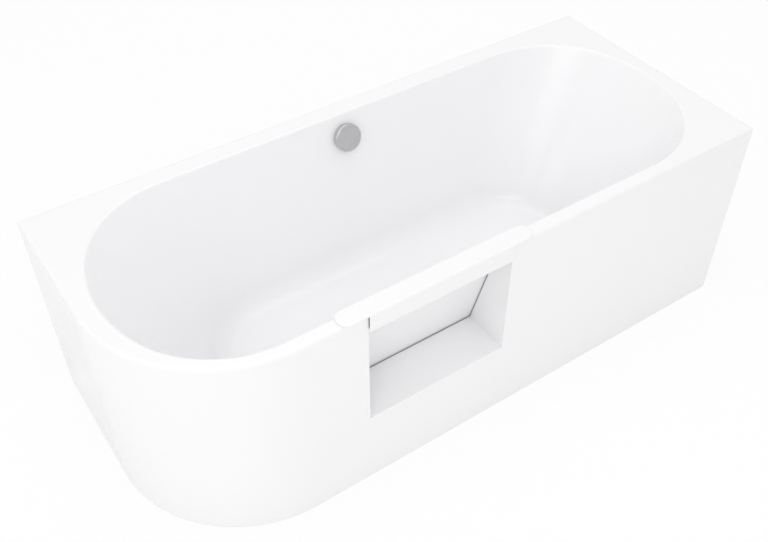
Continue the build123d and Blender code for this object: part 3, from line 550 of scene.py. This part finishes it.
def turned(name, outline, place, sides, closed=False):
    """Body of revolution: a ring extruded and scaled from point to point of an outline."""
    radius, height = outline[0]
    bpy.ops.object.select_all(action="DESELECT")
    bpy.ops.mesh.primitive_circle_add(
        vertices=sides, radius=radius * MM, fill_type="NOTHING", location=(0, 0, height * MM))
    piece = bpy.context.object
    piece.name = name
    bpy.ops.object.transform_apply(location=True, rotation=True, scale=True)
    bpy.ops.object.mode_set(mode="EDIT")
    bpy.ops.mesh.select_mode(type="VERT")
    bpy.ops.mesh.select_all(action="SELECT")
    for next_radius, next_height in outline[1:]:
        rise = (0, 0, (next_height - height) * MM)
        bpy.ops.mesh.extrude_region_move(TRANSFORM_OT_translate={"value": rise})
        grow = next_radius / radius
        bpy.ops.transform.resize(
            value=(grow, grow, 1), center_override=(0, 0, next_height * MM))
        radius, height = next_radius, next_height
    bpy.ops.mesh.select_all(action="SELECT")
    if closed:
        bpy.ops.mesh.remove_doubles(threshold=WELD)
    else:
        bpy.ops.mesh.fill_holes(sides=0)
        bpy.ops.mesh.select_all(action="SELECT")
    bpy.ops.mesh.normals_make_consistent(inside=False)
    bpy.ops.object.mode_set(mode="OBJECT")
    bpy.ops.object.shade_smooth_by_angle(angle=SMOOTH_ANGLE)
    piece.matrix_world = place
    bpy.ops.object.transform_apply(location=True, rotation=True, scale=True)
    return piece


def raised(outline, height):
    """An outline with its heights counted from another height."""
    return [(radius, height + rise) for radius, rise in outline]


def ring_outline(bore, radius, low, high, cut):
    """Closed outline of a ring whose outer corners are cut, by a depth and a height."""
    depth, rise = cut
    return ((bore, low), (radius - depth, low), (radius, low + rise), (radius, high - rise),
            (radius - depth, high), (bore, high), (bore, low))


def thread_outline(thread, low, high):
    """Turns of a thread between two heights, less its plain lengths."""
    height = low + thread.margins[0]
    points = []
    while height < high - thread.margins[1]:
        points += [(thread.crest, height), (thread.crest, height + thread.crest_end),
                   (thread.root, height + thread.root_start),
                   (thread.root, height + thread.root_end)]
        height += thread.pitch
    return points


def joined(name, pieces):
    """Several pieces as one object."""
    only(pieces[0])
    for piece in pieces[1:]:
        piece.select_set(True)
    bpy.ops.object.join()
    pieces[0].name = name
    return pieces[0]


def ribbed(piece, radius, place):
    """Raises every other stretch of a turned ring's outer face into a grip rib."""
    back = place.inverted()
    only(piece)
    bpy.ops.object.mode_set(mode="EDIT")
    bpy.ops.mesh.select_mode(type="FACE")
    bpy.ops.mesh.select_all(action="DESELECT")
    shape = bmesh.from_edit_mesh(piece.data)
    for face in shape.faces:
        middle = back @ face.calc_center_median()
        outward = (back.to_3x3() @ face.normal).normalized()
        flat = Vector((middle.x, middle.y, 0))
        turn = atan2(middle.y, middle.x) / (2 * pi) * RIB_COUNT
        on_rim = abs(outward.z) < RIB_SLOPE and flat.length > RIB_REACH * radius * MM
        if on_rim and turn % 1 < 0.5:
            face.select_set(outward.dot(flat) > 0)
    bmesh.update_edit_mesh(piece.data)
    bpy.ops.mesh.extrude_region_shrink_fatten(
        TRANSFORM_OT_shrink_fatten={"value": RIB_HEIGHT * MM})
    bpy.ops.object.mode_set(mode="OBJECT")
    bpy.ops.object.shade_smooth_by_angle(angle=SMOOTH_ANGLE)


def frame_at(place, x_way=(1, 0, 0), z_way=(0, 0, 1)):
    """Frame with its origin at a place in millimetres, from its X and Z directions."""
    x_way, z_way = Vector(x_way).normalized(), Vector(z_way).normalized()
    y_way = z_way.cross(x_way)
    turn = Matrix((x_way, y_way, z_way)).transposed().to_4x4()
    return Matrix.Translation([v * MM for v in place]) @ turn


OVERFLOW_FRAME = frame_at(OVERFLOW_PLACE, (-1, 0, 0), (0, -cos(LEAN), sin(LEAN)))
DRAIN_FRAME = frame_at((*DRAIN_PLACE, 0))
OUTLET_FRAME = frame_at((*DRAIN_PLACE, OUTLET_HEIGHT), z_way=(0, 1, 0))

# Union nuts, each with its frame, bore, radius, low end and high end
UNION_NUTS = {
    "trap_nut": (DRAIN_FRAME, 46.1, 49.0, TRAP_TOP - 14, TRAP_TOP),
    "trap_cup_nut": (DRAIN_FRAME, 46.1, 48.0, TRAP_TOP - 60, TRAP_TOP - 50),
    "outlet_nut": (OUTLET_FRAME, 26.6, 29.5, 50, 66),
    "overflow_body_nut": (OVERFLOW_FRAME, 32.1, 34.5, -26, -14),
}


def faces_the_wall(face):
    """True for a face on the hidden side of the bath's outer skin."""
    if face.normal.z < -UPRIGHT:
        return True
    upright = abs(face.normal.z) < UPRIGHT
    outward = Vector((face.center.x, face.center.y, 0))
    at_door_way = min(abs(face.center.x - side) for side in NICHE_SIDES) < SIDE_MARGIN
    return upright and not at_door_way and outward.dot(face.normal) < 0


def under_the_shell(face):
    """True for a face below the basin or behind the lip of the rim."""
    behind_lip = face.center.z > SHELL_LIP_FOOT and faces_the_wall(face)
    return behind_lip or face.normal.z < -UPRIGHT


def behind_the_liner(face):
    """True for a face under the sill or outside the jambs of the niche."""
    left, right = NICHE_SIDES
    outside = not left - SIDE_MARGIN <= face.center.x <= right + SIDE_MARGIN
    return face.normal.z < -FACING or outside and abs(face.normal.x) > FACING


HIDDEN_SIDES = {
    "bath_shell": under_the_shell,
    "apron_panel": faces_the_wall,
    "niche_liner": behind_the_liner,
}


class BATH_OT_acrylic_skins(bpy.types.Operator):
    """Gives shell, apron and niche gloss acrylic in front and glass-fibre resin behind"""

    bl_idname = "bath.acrylic_skins"
    bl_label = "Acrylic skins"

    def execute(self, context):
        for node, hidden in HIDDEN_SIDES.items():
            piece = stand_for(copy_of(node, node + "_skin"), node)
            piece.data.materials.append(materials()["resin_backing"])
            for face in piece.data.polygons:
                face.material_index = 1 if hidden(face) else 0
        return {"FINISHED"}


class BATH_OT_rim_cap(bpy.types.Operator):
    """Eases the cap on the door's head and adds the soft lip at its free end"""

    bl_idname = "bath.rim_cap"
    bl_label = "Rim cap"

    def execute(self, context):
        tub = context.scene.bath_settings
        (_, y0, z0), (_, _, z1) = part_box("rim_cap")
        y0 += LIP_SETBACK * MM
        cap = eased_copy("rim_cap", "rim_cap", tub.cap_rounding, 4)
        lip = self.slab(
            (LIP_ENDS[0] * MM, y0, z0 + LIP_RISE * MM),
            (LIP_ENDS[1] * MM, y0 + tub.lip_thickness, z1 - CAP_THICKNESS * MM))
        self.round_upright_edges(lip)
        cap = joined("rim_cap_with_lip", [cap, lip])
        bpy.ops.object.shade_smooth_by_angle(angle=SMOOTH_ANGLE)
        stand_for(cap, "rim_cap")
        return {"FINISHED"}

    def slab(self, low, high):
        """Block between its lowest and its highest corner."""
        middle = [(a + b) / 2 for a, b in zip(low, high)]
        bpy.ops.object.select_all(action="DESELECT")
        bpy.ops.mesh.primitive_cube_add(size=1, location=middle)
        piece = bpy.context.object
        piece.scale = [b - a for a, b in zip(low, high)]
        bpy.ops.object.transform_apply(location=True, rotation=True, scale=True)
        return piece

    def round_upright_edges(self, piece):
        only(piece)
        bpy.ops.object.mode_set(mode="EDIT")
        bpy.ops.mesh.select_mode(type="EDGE")
        bpy.ops.mesh.select_all(action="DESELECT")
        shape = bmesh.from_edit_mesh(piece.data)
        for edge in shape.edges:
            low, high = (vertex.co.z for vertex in edge.verts)
            edge.select_set(abs(high - low) > CAP_THICKNESS * MM)
        bmesh.update_edit_mesh(piece.data)
        bpy.ops.mesh.bevel(
            offset=LIP_ROUNDING * MM, segments=3, profile=0.5, affect="EDGES",
            clamp_overlap=True)
        bpy.ops.object.mode_set(mode="OBJECT")


class BATH_OT_overflow_knob(bpy.types.Operator):
    """Turns the overflow's knob and eases the ring behind it"""

    bl_idname = "bath.overflow_knob"
    bl_label = "Overflow knob"

    def execute(self, context):
        knob = turned("overflow_knob_turned", KNOB_OUTLINE, OVERFLOW_FRAME, ROUND_SIDES)
        stand_for(knob, "overflow_knob")
        ring = eased_copy("overflow_rosette", "overflow_rosette_eased", RING_EASE * MM)
        stand_for(ring, "overflow_rosette")
        return {"FINISHED"}


class BATH_OT_drain_plug(bpy.types.Operator):
    """Turns the domed plug and eases the drain's flange"""

    bl_idname = "bath.drain_plug"
    bl_label = "Drain plug"

    def execute(self, context):
        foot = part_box("drain_plug")[0][2] / MM
        plug = turned("drain_plug_domed", raised(PLUG_OUTLINE, foot), DRAIN_FRAME, ROUND_SIDES)
        stand_for(plug, "drain_plug")
        flange = eased_copy("drain_flange", "drain_flange_eased", RING_EASE * MM)
        stand_for(flange, "drain_flange")
        return {"FINISHED"}


class BATH_OT_feet(bpy.types.Operator):
    """Turns the threaded rods, the pads and the lock nuts of the feet"""

    bl_idname = "bath.feet"
    bl_label = "Feet"

    def execute(self, context):
        nuts = []
        for corner in FOOT_CORNERS:
            low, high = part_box("foot_rod_" + corner)
            middle = ((low[0] + high[0]) / 2 / MM, (low[1] + high[1]) / 2 / MM, 0)
            place = frame_at(middle)
            rod = turned("foot_thread_" + corner, self.rod_outline(low[2] / MM, high[2] / MM),
                         place, ROD_SIDES)
            stand_for(rod, "foot_rod_" + corner)
            low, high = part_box("foot_pad_" + corner)
            outline = (raised(PAD_FOOT_OUTLINE, low[2] / MM)
                       + raised(PAD_TOP_OUTLINE, high[2] / MM))
            pad = turned("foot_pad_turned_" + corner, outline, place, PAD_SIDES)
            stand_for(pad, "foot_pad_" + corner)
            for foot in NUT_HEIGHTS:
                outline = ring_outline(NUT_BORE, NUT_RADIUS, foot, foot + NUT_HEIGHT, NUT_CUT)
                nuts.append(turned("nut", outline, place, sides=6, closed=True))
        stand_for(joined("lock_nuts_chamfered", nuts), "lock_nuts")
        return {"FINISHED"}

    def rod_outline(self, low, high):
        """Outline of a foot's rod, threaded between its eased ends."""
        return (raised(ROD_FOOT_OUTLINE, low) + thread_outline(ROD_THREAD, low, high)
                + raised(ROD_TOP_OUTLINE, high))


class BATH_OT_screws(bpy.types.Operator):
    """Turns the screws of hinges and board, each with its drive socket"""

    bl_idname = "bath.screws"
    bl_label = "Screws"

    def execute(self, context):
        for node, way in SCREW_WAYS.items():
            screws = [self.screw(points, way) for points in self.solids(node)]
            stand_for(joined(node + "_driven", screws), node)
        return {"FINISHED"}

    def solids(self, node):
        """Points of each separate solid of a node, in a settled order."""
        piece = copy_of(node, "loose")
        bpy.ops.object.mode_set(mode="EDIT")
        bpy.ops.mesh.select_all(action="SELECT")
        bpy.ops.mesh.remove_doubles(threshold=WELD)
        bpy.ops.mesh.separate(type="LOOSE")
        bpy.ops.object.mode_set(mode="OBJECT")
        found = []
        for part in list(bpy.context.selected_objects):
            found.append([vertex.co.copy() for vertex in part.data.vertices])
            bpy.data.objects.remove(part, do_unlink=True)
        return sorted(found, key=lambda points: tuple(round(v, 4) for v in points[0]))

    def screw(self, points, way):
        """Screw with its thread and drive socket, along a way through some points."""
        middle = sum(points, Vector()) / len(points)
        heights = [point.dot(way) for point in points]
        across = middle - way * middle.dot(way)
        tip = across + way * min(heights)
        length = (max(heights) - min(heights)) / MM
        neck = length - SCREW_HEAD_HEIGHT
        side = Vector((0, 1, 0)) if way.x else Vector((1, 0, 0))
        place = frame_at([v / MM for v in tip], side, way)
        outline = (raised(SCREW_TIP_OUTLINE, 0) + thread_outline(SCREW_THREAD, 0, neck)
                   + raised(SCREW_NECK_OUTLINE, neck) + raised(SCREW_SOCKET_OUTLINE, length))
        return turned("screw", outline, place, SCREW_SIDES)


class BATH_OT_steel_frame(bpy.types.Operator):
    """Eases the edges of the frame, the brackets, the board and the clips"""

    bl_idname = "bath.steel_frame"
    bl_label = "Steel frame"

    def execute(self, context):
        for node, width in EASED_NODES.items():
            stand_for(eased_copy(node, node + "_eased", width * MM), node)
        return {"FINISHED"}


class BATH_OT_union_nuts(bpy.types.Operator):
    """Turns the ribbed union nuts of trap, drain and overflow"""

    bl_idname = "bath.union_nuts"
    bl_label = "Union nuts"

    def execute(self, context):
        for name, (place, bore, radius, low, high) in UNION_NUTS.items():
            outline = ring_outline(bore, radius, low, high, UNION_NUT_CUT)
            ring = turned(name, outline, place, UNION_NUT_SIDES, closed=True)
            ribbed(ring, radius, place)
            on_body(ring, "bath", "grey_plastic")
        return {"FINISHED"}


class BATH_OT_stage(bpy.types.Operator):
    """Sets the floor, the studio's lights and the camera"""

    bl_idname = "bath.stage"
    bl_label = "Stage"

    def execute(self, context):
        levels = context.scene.stage_settings
        self.floor(context)
        self.sky(context, levels.sky)
        for name, (place, width) in LIGHTS.items():
            self.soft_light(context, name, place, width, LIGHT_WATTS * getattr(levels, name))
        self.camera(context)
        context.scene.view_settings.view_transform = "Standard"
        return {"FINISHED"}

    def floor(self, context):
        """White floor with a glow that only the camera sees, clear from below."""
        bpy.ops.object.select_all(action="DESELECT")
        bpy.ops.mesh.primitive_plane_add(size=FLOOR_SIZE, location=(0, 0, 0))
        floor = context.object
        floor.name = "studio_floor"
        bpy.ops.object.transform_apply(location=True, rotation=True, scale=True)
        finish = Finish("studio_white", Base_Color=STUDIO_WHITE, Roughness=0.9)
        seen = finish.value(finish.node("ShaderNodeLightPath").outputs["Is Camera Ray"])
        glow = finish.node("ShaderNodeEmission", None, Color=PURE_WHITE, Strength=1.0)
        lit = finish.either(seen * FLOOR_GLOW, finish.shader, glow)
        below = finish.node("ShaderNodeNewGeometry").outputs["Backfacing"]
        clear = finish.node("ShaderNodeBsdfTransparent")
        sides = finish.either(below, lit, clear)
        finish.feed(finish.output.inputs["Surface"], sides.outputs[0])
        floor.data.materials.append(finish.material)

    def sky(self, context, strength):
        """Even white light all round, and plain white where the camera sees past the floor."""
        world = bpy.data.worlds.new("studio")
        context.scene.world = world
        world.use_nodes = True
        nodes, links = world.node_tree.nodes, world.node_tree.links
        blend = nodes.new("ShaderNodeMixShader")
        rays = nodes.new("ShaderNodeLightPath")
        links.new(rays.outputs["Is Camera Ray"], blend.inputs[0])
        backgrounds = (nodes["Background"], nodes.new("ShaderNodeBackground"))
        for place, level in enumerate((strength, 1.0)):
            backgrounds[place].inputs["Color"].default_value = PURE_WHITE
            backgrounds[place].inputs["Strength"].default_value = level
            links.new(backgrounds[place].outputs[0], blend.inputs[place + 1])
        links.new(blend.outputs[0], nodes["World Output"].inputs["Surface"])

    def soft_light(self, context, name, place, width, watts):
        """Round lamp that points at the bath."""
        data = bpy.data.lights.new(name, "AREA")
        data.shape = "DISK"
        data.size = width
        data.energy = watts
        light = bpy.data.objects.new(name, data)
        context.collection.objects.link(light)
        light.location = place
        way = Vector(LIGHT_TARGET) - light.location
        light.rotation_euler = way.to_track_quat("-Z", "Y").to_euler()

    def camera(self, context):
        """Camera from which the photograph was taken."""
        data = bpy.data.cameras.new("camera")
        camera = bpy.data.objects.new("camera", data)
        context.collection.objects.link(camera)
        data.sensor_width = CAMERA_SENSOR
        data.lens = CAMERA_LENS
        camera.location = CAMERA_PLACE
        camera.rotation_euler = [radians(turn) for turn in CAMERA_TURN]
        context.scene.camera = camera


class BATH_PT_panel(bpy.types.Panel):
    """Lists the settings and the steps of the bathtub"""

    bl_idname = "BATH_PT_panel"
    bl_label = "Bathtub"
    bl_space_type = "VIEW_3D"
    bl_region_type = "UI"
    bl_category = "Bathtub"

    def draw(self, context):
        for group in (context.scene.bath_settings, context.scene.stage_settings):
            for name in group.bl_rna.properties.keys():
                if name not in ("rna_type", "name"):
                    self.layout.prop(group, name)
        for step in STEPS:
            self.layout.operator(step.bl_idname)


STEPS = (
    BATH_OT_node_finishes,
    BATH_OT_acrylic_skins,
    BATH_OT_rim_cap,
    BATH_OT_overflow_knob,
    BATH_OT_drain_plug,
    BATH_OT_feet,
    BATH_OT_screws,
    BATH_OT_steel_frame,
    BATH_OT_union_nuts,
    BATH_OT_stage,
)
CLASSES = (BathSettings, StageSettings, *STEPS, BATH_PT_panel)


def register():
    for cls in CLASSES:
        bpy.utils.register_class(cls)
    bpy.types.Scene.bath_settings = bpy.props.PointerProperty(type=BathSettings)
    bpy.types.Scene.stage_settings = bpy.props.PointerProperty(type=StageSettings)


def unregister():
    del bpy.types.Scene.stage_settings
    del bpy.types.Scene.bath_settings
    for cls in reversed(CLASSES):
        bpy.utils.unregister_class(cls)


def main():
    register()
    for step in STEPS:
        group, name = step.bl_idname.split(".")
        getattr(getattr(bpy.ops, group), name)()


if __name__ == "__main__":
    main()
